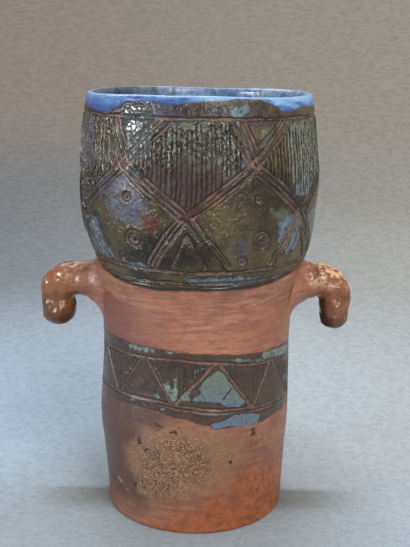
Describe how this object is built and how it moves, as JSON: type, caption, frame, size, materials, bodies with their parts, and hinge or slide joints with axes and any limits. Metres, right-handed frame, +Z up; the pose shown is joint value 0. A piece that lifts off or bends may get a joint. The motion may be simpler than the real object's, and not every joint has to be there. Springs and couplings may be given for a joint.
{
  "type": "two-handled vase",
  "caption": "Hand-built stoneware vase: a wide bowl on a narrower cylinder, with a downturned hook handle on each side of the joint.",
  "frame": {"origin": "the middle of the foot ring, on the plane that the vase stands on", "axes": "+Z up along the vase's middle line; the handles point along -X and +X; the front is towards -Y"},
  "size_m": [0.1858, 0.1384, 0.2505],
  "materials": {
    "bare_clay": "unglazed red-brown clay with a soft sheen",
    "sheen_clay": "thin glossy wash over red-brown clay",
    "dark_glaze": "glossy dark olive-brown glaze",
    "inner_glaze": "glossy pale grey-blue glaze"
  },
  "bodies": {
    "root": {"floor_slab": "inner_glaze", "cylinder_wall": "bare_clay", "joint_coil": "bare_clay", "bowl_wall": "dark_glaze", "handle_left": "sheen_clay", "handle_right": "sheen_clay"}
  },
  "joints": []
}
